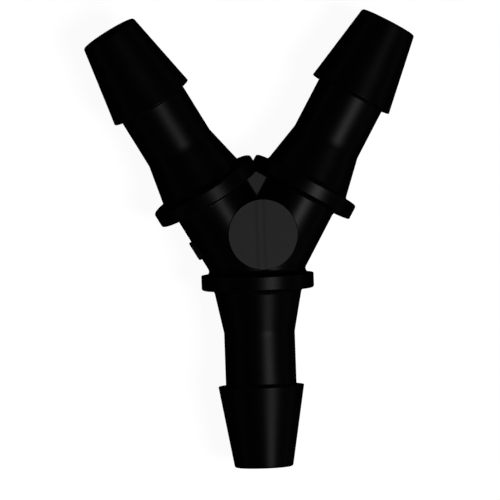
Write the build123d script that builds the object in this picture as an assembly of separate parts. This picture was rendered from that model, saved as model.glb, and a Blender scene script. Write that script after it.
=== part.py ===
from build123d import *
import os
from math import cos, radians, sqrt, tan

# A moulded connector that joins three soft tubes in a Y. It is one piece of plastic: a stem and
# two arms, each a hose end with a collar and one sharp barb, meet at a small round hub.
# The mould's parting plane lies level at half the collar's width, because the part rests on the
# rims of its collars. The stem points to -Y, the arms spread to +Y, and the round pad faces up.
# Lengths are in millimetres and angles in degrees. The axes of the three bores cross at one
# point, called the crossing below, where the part is modelled before it is moved to its place.

# Layout: each arm's lean, and the room in the fork from its middle to an arm's hub fillet
arm_angle = 30.0
fork_gap = 0.82

# Hose ends: the neck fits the tube, and each step is the rise from one surface to the next
neck_diameter = 6.55
neck_length = 4.95
neck_wall = 1.175
barb_step = 0.7
barb_length = 7.55
tip_wall = 0.6
root_step = 0.8
cone_length = 4.0
collar_step = 1.125
collar_thickness = 1.4

# Hub, its round pad on both faces, and the web in the fork
hub_wall = 1.55
pad_diameter = 6.6
pad_offset = 3.8
pad_rise = 0.05
web_thickness = 2.6
web_hub_fillet = 0.45
web_collar_fillet = 0.2

# Small nub that the mould's gate leaves on the hub's left flank
gate_distance = 4.9
gate_length = 1.85
gate_width = 1.2
gate_height = 0.23
gate_rounding = 0.4

# Edges
collar_inner_edge = 0.1
collar_edge = 0.22
hub_fillet = 0.38
root_fillet = 0.45
neck_blend = 1.0
barb_edge = 0.06
tip_edge = 0.22
pad_edge = 0.08
mouth_chamfer = 0.2

# What follows from the sizes above
neck_radius = neck_diameter / 2
bore_radius = neck_radius - neck_wall
tip_radius = bore_radius + tip_wall
barb_radius = neck_radius + barb_step
root_radius = neck_radius + root_step
collar_radius = root_radius + collar_step
hub_radius = bore_radius + hub_wall
arm_reach = (hub_radius + hub_fillet + fork_gap) / tan(radians(arm_angle))
hose_end_length = collar_thickness + cone_length + neck_length + barb_length
web_half = web_thickness / 2


def radial_plane(turn, distance=0.0):
    """A plane across an end's axis, facing outwards, this far from the crossing.

    Its x direction stays in the parting plane and its y direction points up or down.
    """
    outwards = Vector(0, 1, 0).rotate(Axis.Z, turn)
    sideways = Vector(1, 0, 0).rotate(Axis.Z, turn)
    return Plane(origin=outwards * distance, x_dir=sideways, z_dir=outwards)


def turned(outline):
    """The solid that a closed outline in the XZ plane sweeps around Z."""
    return revolve(make_face(outline), Axis.Z)


def hose_end():
    """Collar, flared root, neck and barb along +Z, from the collar's inner face to the tip."""
    neck_start = collar_thickness + cone_length
    shoulder = neck_start + neck_length
    outline = Plane.XZ * FilletPolyline(
        (0, 0),
        (collar_radius, 0),
        (collar_radius, collar_thickness),
        (root_radius, collar_thickness),
        (neck_radius, neck_start),
        (neck_radius, shoulder),
        (barb_radius, shoulder),
        (tip_radius, hose_end_length),
        (0, hose_end_length),
        radius=[collar_inner_edge, collar_edge, root_fillet, neck_blend, 0, barb_edge, tip_edge],
    )
    axis_side = Plane.XZ * Line((0, hose_end_length), (0, 0))
    return turned(outline + axis_side)


def bore(length):
    """The space inside one end along +Z, from the crossing out through its chamfered mouth."""
    beyond = length + mouth_chamfer
    outline = Plane.XZ * Polyline(
        (0, 0),
        (bore_radius, 0),
        (bore_radius, length - mouth_chamfer),
        (bore_radius + 2 * mouth_chamfer, beyond),
        (0, beyond),
        close=True,
    )
    return turned(outline)


def hub_with_ends():
    """The three hose ends on the plain cylinders of the hub, filleted where these meet a collar."""
    body = radial_plane(180).location * hose_end()
    for turn in (arm_angle, -arm_angle):
        body += radial_plane(turn, arm_reach).location * hose_end()
        body += extrude(radial_plane(turn) * Circle(hub_radius), arm_reach)
    stem_seams = body.edges().filter_by(GeomType.ELLIPSE).filter_by_position(Axis.Y, -0.001, 0.001)
    circles = body.edges().filter_by(GeomType.CIRCLE)
    arm_seams = [circle for circle in circles if abs(circle.radius - hub_radius) < 0.001]
    return fillet(stem_seams + arm_seams, hub_fillet)


def hub_flare(turn, side):
    """The fillet that runs along one arm of the hub, down to the web on its inner side.

    Its circle touches the hub's circle and the web's face, above and below the web.
    """
    height = web_half + web_hub_fillet
    reach = sqrt((hub_radius + web_hub_fillet) ** 2 - height**2)
    share = hub_radius / (hub_radius + web_hub_fillet)
    on_hub = Vector(side * reach * share, height * share)
    on_web = Vector(side * reach, web_half)
    upper = RadiusArc(on_hub, on_web, -side * web_hub_fillet)
    lower = mirror(upper, Plane.XZ)
    hub_side = Line((on_hub.X, -on_hub.Y), (on_hub.X, on_hub.Y))
    web_side = Line((on_web.X, on_web.Y), (on_web.X, -on_web.Y))
    section = make_face(upper + lower + hub_side + web_side)
    return extrude(radial_plane(turn) * section, arm_reach)


def collar_flare(turn, side):
    """The fillet between the web and the inner face of one arm's collar."""
    across = radial_plane(turn)
    foot = arm_reach - web_collar_fillet
    height = web_half + web_collar_fillet
    upper = RadiusArc((foot, web_half), (arm_reach, height), -web_collar_fillet)
    lower = mirror(upper, Plane.XZ)
    collar_side = Line((arm_reach, height), (arm_reach, -height))
    web_side = Line((foot, -web_half), (foot, web_half))
    section = make_face(upper + lower + collar_side + web_side)
    start = Plane(origin=(0, 0, 0), x_dir=across.z_dir, z_dir=across.x_dir * side)
    return extrude(start * section, arm_reach * tan(radians(arm_angle)))


def web():
    """The flat plate that fills the fork and ends inside the two collars, with its fillets."""
    end = arm_reach + collar_edge
    left = Vector(0, end, 0).rotate(Axis.Z, arm_angle)
    right = Vector(0, end, 0).rotate(Axis.Z, -arm_angle)
    top = Vector(0, end / cos(radians(arm_angle)), 0)
    outline = Polyline((0, 0, 0), right, top, left, close=True)
    plate = extrude(make_face(outline), web_half, both=True)
    for side in (1, -1):
        plate += [hub_flare(side * arm_angle, side), collar_flare(side * arm_angle, side)]
    return plate


def pad():
    """The round pad that stands a little proud of the hub on both faces."""
    radius = pad_diameter / 2
    height = hub_radius + pad_rise
    outline = Plane.XZ * FilletPolyline(
        (0, -height),
        (radius, -height),
        (radius, height),
        (0, height),
        radius=[pad_edge, pad_edge],
    )
    axis_side = Plane.XZ * Line((0, height), (0, -height))
    return Pos(0, pad_offset, 0) * turned(outline + axis_side)


def gate_nub():
    """The low nub on the left flank of the hub, on the parting plane."""
    flank = radial_plane(arm_angle, gate_distance)
    depth = hub_radius + gate_height
    face = Plane(origin=flank.origin, x_dir=flank.z_dir, z_dir=-flank.x_dir)
    return extrude(face * RectangleRounded(gate_length, gate_width, gate_rounding), depth)


def y_connector():
    """The whole connector about the crossing, with its three bores cut through."""
    body = hub_with_ends() + [web(), pad(), gate_nub()]
    for turn in (arm_angle, -arm_angle):
        body -= radial_plane(turn).location * bore(arm_reach + hose_end_length)
    return body - radial_plane(180).location * bore(hose_end_length)


def on_the_ground(body):
    """The part with the middle of its base at the origin."""
    box = body.bounding_box()
    return Pos(-box.center().X, -box.center().Y, -box.min.Z) * body


os.makedirs("parts", exist_ok=True)
export_step(on_the_ground(y_connector()), "parts/y_connector.step")
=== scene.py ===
import bpy
from math import cos, pi, radians, sin
from mathutils import Euler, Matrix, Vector

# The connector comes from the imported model: one black moulding that lies on the rims of its
# three collars, with its stem towards -Y and its round pad up. All sizes below are in metres,
# but for the camera's lens and sensor, which are in millimetres.
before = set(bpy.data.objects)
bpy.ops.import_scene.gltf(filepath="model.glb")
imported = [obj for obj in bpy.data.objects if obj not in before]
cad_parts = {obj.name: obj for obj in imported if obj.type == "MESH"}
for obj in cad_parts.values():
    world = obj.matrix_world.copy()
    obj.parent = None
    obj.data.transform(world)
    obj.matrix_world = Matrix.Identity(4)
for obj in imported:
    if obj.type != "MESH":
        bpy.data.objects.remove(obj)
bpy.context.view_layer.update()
bpy.ops.object.select_all(action="DESELECT")

# Camera: a long lens almost straight above the part, a little to its left and turned by a
# couple of degrees, as the photograph was taken. It is aimed close to the crossing, which is
# the point where the axes of the three ends meet.
crossing = Vector((0, -0.00308, 0.0052))
camera_turn = Euler((radians(-2.95), radians(-10.2), radians(-2.01)), "ZXY")
camera_distance = 0.9252
beside_crossing = Vector((-0.000685, 0.002198, 0))
sight = camera_turn.to_matrix()
aim = crossing + sight @ beside_crossing
bpy.ops.object.camera_add(location=aim + sight @ Vector((0, 0, camera_distance)))
camera = bpy.context.object
camera.name = "camera"
camera.rotation_mode = "ZXY"
camera.rotation_euler = camera_turn
camera.data.sensor_width = 36
camera.data.lens = 720
camera.data.clip_end = 10
bpy.context.scene.camera = camera


# The connector is injection moulded in one shot of black polypropylene with a satin surface.
# Two mould halves meet at half its height, and three core pins leave the smooth bores.
class Shade:
    """A socket among a material's nodes. Sums on it add Math nodes behind it."""

    def __init__(self, socket):
        self.socket = socket

    @staticmethod
    def node(tree, kind, settings, sockets, output=0):
        """One node of this kind: its settings are made first, then its values and links."""
        made = tree.nodes.new("ShaderNode" + kind)
        for name, value in settings.items():
            setattr(made, name, value)
        for name, value in sockets.items():
            if isinstance(value, Shade):
                tree.links.new(value.socket, made.inputs[name])
            else:
                made.inputs[name].default_value = value
        return Shade(made.outputs[output]) if made.outputs else None

    def neighbour(self, output):
        """Another output of the node that this socket belongs to."""
        return Shade(self.socket.node.outputs[output])

    def math(self, operation, *others):
        """A Math node that works on this value and the others."""
        values = dict(enumerate((self, *others)))
        return Shade.node(self.socket.id_data, "Math", {"operation": operation}, values)

    def rising(self, start, end):
        """0 where the value is below start and 1 above end, with a smooth change between."""
        settings = {"interpolation_type": "SMOOTHSTEP"}
        reach = {"Value": self, "From Min": start, "From Max": end}
        return Shade.node(self.socket.id_data, "MapRange", settings, reach)

    def __add__(self, other):
        return self.math("ADD", other)

    def __sub__(self, other):
        return self.math("SUBTRACT", other)

    def __rsub__(self, other):
        return self.math("MULTIPLY_ADD", -1.0, other)

    def __mul__(self, other):
        return self.math("MULTIPLY", other)

    def __pow__(self, other):
        return self.math("POWER", other)

    def __abs__(self):
        return self.math("ABSOLUTE")

    __radd__ = __add__
    __rmul__ = __mul__


plastic = bpy.data.materials.new("black_plastic")
plastic.use_nodes = True
tree = plastic.node_tree
tree.nodes.clear()
place = Shade.node(tree, "TexCoord", {}, {}, "Object")
x = Shade.node(tree, "SeparateXYZ", {}, {"Vector": place}, "X")
y = x.neighbour("Y") - crossing.y
rise = x.neighbour("Z") - crossing.z


def noise(where, scale, detail):
    """Soft noise between 0 and 1, with about this many grains to a unit of length."""
    sockets = {"Vector": where, "Scale": scale, "Detail": detail}
    return Shade.node(tree, "TexNoise", {}, sockets, "Fac")


def hypotenuse(one, other):
    """The longest side of a right triangle whose two other sides are given."""
    return (one * one + other * other) ** 0.5


def hose_axis(turn):
    """How far out along one end's axis a point lies, and how far beside it seen from above."""
    along = y * cos(turn) - x * sin(turn)
    beside = x * cos(turn) + y * sin(turn)
    return along, beside


# The mould's spark-eroded grain, and slow clouds where the melt cooled unevenly
grain = noise(place, 9000.0, 3.0)
clouds = noise(place, 350.0, 3.0)

# The ends: each one's turn from +Y, and how far its collar's inner face is from the crossing
arm_turn = radians(30)
arm_reach = 0.0084
ends = ((pi, 0.0), (arm_turn, arm_reach), (-arm_turn, arm_reach))

# What each end shows: a bore left smooth by its core pin, the turning marks of its cavity and a
# duller neck. A soft bend joins the flared root to the neck, and a small radius the neck to the
# barb. Places are counted from the collar's inner face. A pair is where a mask starts to change
# and where it has changed.
bore_start = (0.0, 0.0001)
bore_edge = (0.0023, 0.0024)
collar_start = (0.0, 0.0002)
collar_edge = (0.0053, 0.0054)
marks_apart = 0.00019
neck_start = (0.0052, 0.00565)
neck_end = (0.01035, 0.01045)
neck_edge = (0.0034, 0.0035)
bend_place = 0.0054
bend_reach = 0.0004
bend_core = 0.00006
root_slope = 0.2
barb_place = 0.01035
foot_radius = 0.0003
foot_end = (0.0004, 0.0005)
foot_edge = (0.00332, 0.00337)
in_bore = turning = on_neck = neck_bend = barb_foot = 0.0
for turn, collar_place in ends:
    along, beside = hose_axis(turn)
    away = hypotenuse(beside, rise)
    in_bore = in_bore + along.rising(*bore_start) * (1 - away.rising(*bore_edge))
    past_collar = along - collar_place
    on_end = past_collar.rising(*collar_start) * (1 - away.rising(*collar_edge))
    turning = turning + (along * (2 * pi / marks_apart)).math("SINE") * on_end

    near_neck = 1 - away.rising(*neck_edge)
    neck = past_collar.rising(*neck_start) * (1 - past_collar.rising(*neck_end))
    on_neck = on_neck + neck * near_neck
    off_bend = hypotenuse(past_collar - bend_place, bend_core)
    near_bend = (1 - off_bend * (1 / bend_reach)).math("MAXIMUM", 0.0)
    neck_bend = neck_bend + near_bend**2 * near_neck

    past_barb = past_collar - barb_place
    foot = past_barb.rising(-foot_radius, foot_radius) * (1 - past_barb.rising(*foot_end))
    barb_foot = barb_foot + foot * (1 - away.rising(*foot_edge))
outside = 1 - in_bore

# The fillet from the hub up to the stem's collar starts right at the pad's edge, and gets
# steeper evenly towards the collar
fillet_reach = 0.00057
fillet_bend = 1000
into_fillet = (fillet_reach - y).math("MAXIMUM", 0.0).math("MINIMUM", fillet_reach)

# The parting line, a hair's breadth of flash at half the height
flash_edge = (0.00002, 0.00006)
parting = 1 - abs(rise).rising(*flash_edge)

# The torn face of the gate nub on the left flank
nub_place = 0.0049
nub_face = (0.00366, 0.00368)
nub_side = (0.00095, 0.001)
left_flank = (-0.0036, -0.0035)
along, beside = hose_axis(arm_turn)
gate = hypotenuse(beside, rise).rising(*nub_face) * (1 - beside.rising(*left_flank))
gate = gate * (1 - abs(along - nub_place).rising(*nub_side))
tears = noise(place, 3200.0, 4.0)

# Two dull flow lines down the pad, where the melt from the two arms met
pad_face = (0.0036, 0.00364)
pad_start = (0.0002, 0.0004)
line_places = (-0.00062, 0.00008)
line_edge = (0.00004, 0.0002)
line_wander = 0.0004
line_strength = 0.7
on_pad = rise.rising(*pad_face) * y.rising(*pad_start)
stretched = Shade.node(tree, "Mapping", {}, {"Vector": place, "Scale": (500, 160, 160)})
wander = noise(stretched, 1.0, 2.0) - 0.5
flow_lines = 0.0
for line_place in line_places:
    off_line = abs(x - line_place + wander * line_wander)
    flow_lines = flow_lines + (1 - off_line.rising(*line_edge))
flow_lines = flow_lines * (line_strength + wander)

# Roughness: satin, a little changed by clouds and grain, smooth in the bores, dull where torn
satin = 0.35
cloud_change = 0.03
grain_change = 0.04
bore_change = -0.16
torn_change = 0.5
neck_change = 0.028
pad_change = -0.02
line_change = 0.07
roughness = satin + cloud_change * (clouds - 0.5) + grain_change * (grain - 0.5) * outside
roughness = roughness + bore_change * in_bore + torn_change * gate
roughness = roughness + neck_change * on_neck * outside
roughness = roughness + (line_change * flow_lines + pad_change) * on_pad

# Relief: how high each mark stands on the skin
grain_height = 1.4e-6
mark_height = 2.4e-7
flash_height = 1.2e-5
tear_height = 2.4e-5
bend_height = root_slope * bend_reach / 4
relief = grain * grain_height + turning * mark_height + parting * flash_height
relief = relief + neck_bend * bend_height + into_fillet**2 * fillet_bend
relief = relief * outside + tears * gate * tear_height + barb_foot * foot_radius
skin = Shade.node(tree, "Bump", {}, {"Height": relief, "Strength": 1.0, "Distance": 1.0})

# The pigment is close to pure black, and the skin mirrors little
deep_black = (0.0006, 0.0006, 0.0006, 1)
soft_black = (0.0012, 0.0012, 0.0012, 1)
blacks = {0: clouds, 6: deep_black, 7: soft_black}
black = Shade.node(tree, "Mix", {"data_type": "RGBA"}, blacks, 2)
look = {"Base Color": black, "Roughness": roughness, "Specular IOR Level": 0.06, "Normal": skin}
shader = Shade.node(tree, "BsdfPrincipled", {}, look)
Shade.node(tree, "OutputMaterial", {}, {"Surface": shader})
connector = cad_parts["y_connector"]
connector.data.materials.clear()
connector.data.materials.append(plastic)


# The floor is a white board. Light Path lifts it to white where the camera looks at it, and
# there it keeps the part's soft shadow. The part itself hardly mirrors it, as in the photograph.
def camera_colour(tree, unseen, looked_at):
    """One grey for the camera and another for the light that bounces about the scene."""
    seen = Shade.node(tree, "LightPath", {}, {}, "Is Camera Ray")
    greys = {0: seen, 6: (unseen, unseen, unseen, 1), 7: (looked_at, looked_at, looked_at, 1)}
    return Shade.node(tree, "Mix", {"data_type": "RGBA"}, greys, 2)


bpy.ops.mesh.primitive_plane_add(size=4)
floor = bpy.context.object
floor.name = "floor"
board = bpy.data.materials.new("white_board")
board.use_nodes = True
tree = board.node_tree
tree.nodes.clear()
paint = {
    "Base Color": camera_colour(tree, 0.01, 0.12),
    "Roughness": 0.9,
    "Specular IOR Level": 0.0,
    "Emission Color": camera_colour(tree, 0.0, 1.0),
    "Emission Strength": 0.95,
}
board_shader = Shade.node(tree, "BsdfPrincipled", {}, paint)
Shade.node(tree, "OutputMaterial", {}, {"Surface": board_shader})
floor.data.materials.append(board)


# Light: one softbox above the part, a little right of it and below it in the picture. It hangs
# two metres off, so its light is soft and level.
lamp_tilt = radians(20.65)
lamp_side = radians(327.5)
lamp_distance = 2
lamp_reach = sin(lamp_tilt)
lamp_way = Vector((lamp_reach * cos(lamp_side), lamp_reach * sin(lamp_side), cos(lamp_tilt)))
bpy.ops.object.light_add(type="AREA", location=aim + lamp_distance * lamp_way)
softbox = bpy.context.object
softbox.name = "softbox"
softbox.data.size = 0.7
softbox.data.energy = 21.6
softbox.rotation_euler = Vector((0, 0, 1)).rotation_difference(lamp_way).to_euler()

# The room is white to the camera. To all other light it is dim overhead, and a soft glow low on
# its walls draws the part's edges where it is seen from the side.
overhead = 0.012
wall_glow = 0.28
glow_fade = (0.05, 0.4)
room = bpy.data.worlds.new("room")
bpy.context.scene.world = room
room.use_nodes = True
tree = room.node_tree
tree.nodes.clear()
seen = Shade.node(tree, "LightPath", {}, {}, "Is Camera Ray")
outwards = Shade.node(tree, "TexCoord", {}, {}, "Generated")
upwards = Shade.node(tree, "SeparateXYZ", {}, {"Vector": outwards}, "Z")
walls = overhead + wall_glow * (1 - upwards.rising(*glow_fade))
glow = {"Color": (1, 1, 1, 1), "Strength": walls * (1 - seen) + seen}
air = Shade.node(tree, "Background", {}, glow)
Shade.node(tree, "OutputWorld", {}, {"Surface": air})

bpy.context.scene.view_settings.view_transform = "Standard"
